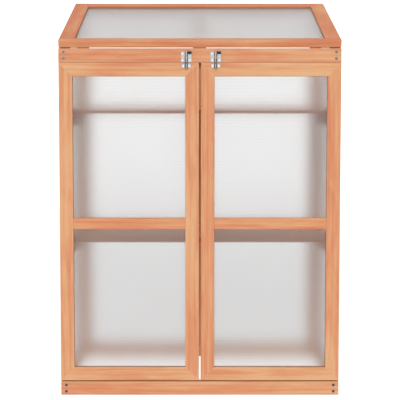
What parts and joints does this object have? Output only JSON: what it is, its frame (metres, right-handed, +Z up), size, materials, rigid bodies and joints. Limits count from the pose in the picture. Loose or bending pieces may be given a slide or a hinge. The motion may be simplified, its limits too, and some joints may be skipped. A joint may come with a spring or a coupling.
{
  "type": "mini greenhouse",
  "caption": "Small upright wooden greenhouse with translucent twin-wall sheets, mitred doors with barrel bolts, a sloping hinged lid and slatted shelves.",
  "frame": {"origin": "centre of the bounding box in plan, on the floor", "axes": "+Z up, -Y towards the viewer who faces the doors, +X to that viewer's right"},
  "size_m": [0.76, 0.4886, 1.0968],
  "materials": {
    "pine": "planed softwood with a light reddish-brown stain, matt",
    "twin_wall": "translucent twin-wall polycarbonate with fine flutes",
    "steel": "zinc-plated, satin",
    "screw": "blue-black coated, satin",
    "black_plastic": "black moulded plastic, satin"
  },
  "bodies": {
    "frame": {"front_bottom_rail": "pine", "front_top_rail": "pine", "front_post_left": "pine", "front_post_right": "pine", "rear_post_left": "pine", "rear_post_right": "pine", "rear_centre_post": "pine", "rear_bottom_rail": "pine", "rear_top_rail": "pine", "side_bottom_rail_left": "pine", "side_bottom_rail_right": "pine", "side_top_rail_left": "pine", "side_top_rail_right": "pine", "side_sheet_left": "twin_wall", "side_sheet_right": "twin_wall", "back_sheet_left": "twin_wall", "back_sheet_right": "twin_wall", "upper_shelf_rails": "pine", "upper_shelf_slats": "pine", "lower_shelf_rails": "pine", "lower_shelf_slats": "pine", "fixed_hinge_leaves": "steel", "hinge_pins": "steel", "bolt_plate_left": "steel", "bolt_plate_right": "steel", "frame_screws": "screw", "bolt_plate_screws": "steel", "fixed_hinge_screws": "steel"},
    "left_door": {"left_door_bottom_rail": "pine", "left_door_top_rail": "pine", "left_door_outer_stile": "pine", "left_door_inner_stile": "pine", "left_door_mid_rail": "pine", "left_door_lower_pane": "twin_wall", "left_door_upper_pane": "twin_wall", "left_door_hinge_leaves": "steel", "left_door_screws": "steel", "bolt_keeper_left": "steel"},
    "right_door": {"right_door_bottom_rail": "pine", "right_door_top_rail": "pine", "right_door_outer_stile": "pine", "right_door_inner_stile": "pine", "right_door_mid_rail": "pine", "right_door_lower_pane": "twin_wall", "right_door_upper_pane": "twin_wall", "right_door_hinge_leaves": "steel", "right_door_screws": "steel", "bolt_keeper_right": "steel"},
    "lid": {"lid_front_bar": "pine", "lid_stile_left": "pine", "lid_stile_right": "pine", "lid_rear_rail": "pine", "lid_sheet": "twin_wall", "lid_hinge_leaves": "steel", "lid_screws": "steel"},
    "left_bolt": {"bolt_rod_left": "steel", "bolt_knob_left": "black_plastic"},
    "right_bolt": {"bolt_rod_right": "steel", "bolt_knob_right": "black_plastic"}
  },
  "joints": [
    {"name": "left_door_hinge", "type": "hinge", "parent": "frame", "child": "left_door", "pos_m": [-0.378, -0.21072, 0.45], "axis": [0, 0, -1], "range_deg": [0, 110]},
    {"name": "right_door_hinge", "type": "hinge", "parent": "frame", "child": "right_door", "pos_m": [0.378, -0.21072, 0.45], "axis": [0, 0, 1], "range_deg": [0, 110]},
    {"name": "lid_hinge", "type": "hinge", "parent": "frame", "child": "lid", "pos_m": [0, 0.24228, 1.07685], "axis": [-1, 0, 0], "range_deg": [0, 100]},
    {"name": "left_bolt_slide", "type": "slide", "parent": "frame", "child": "left_bolt", "axis": [0, 0, 1], "range_m": [-0.0131, 0]},
    {"name": "right_bolt_slide", "type": "slide", "parent": "frame", "child": "right_bolt", "axis": [0, 0, 1], "range_m": [-0.0131, 0]}
  ]
}
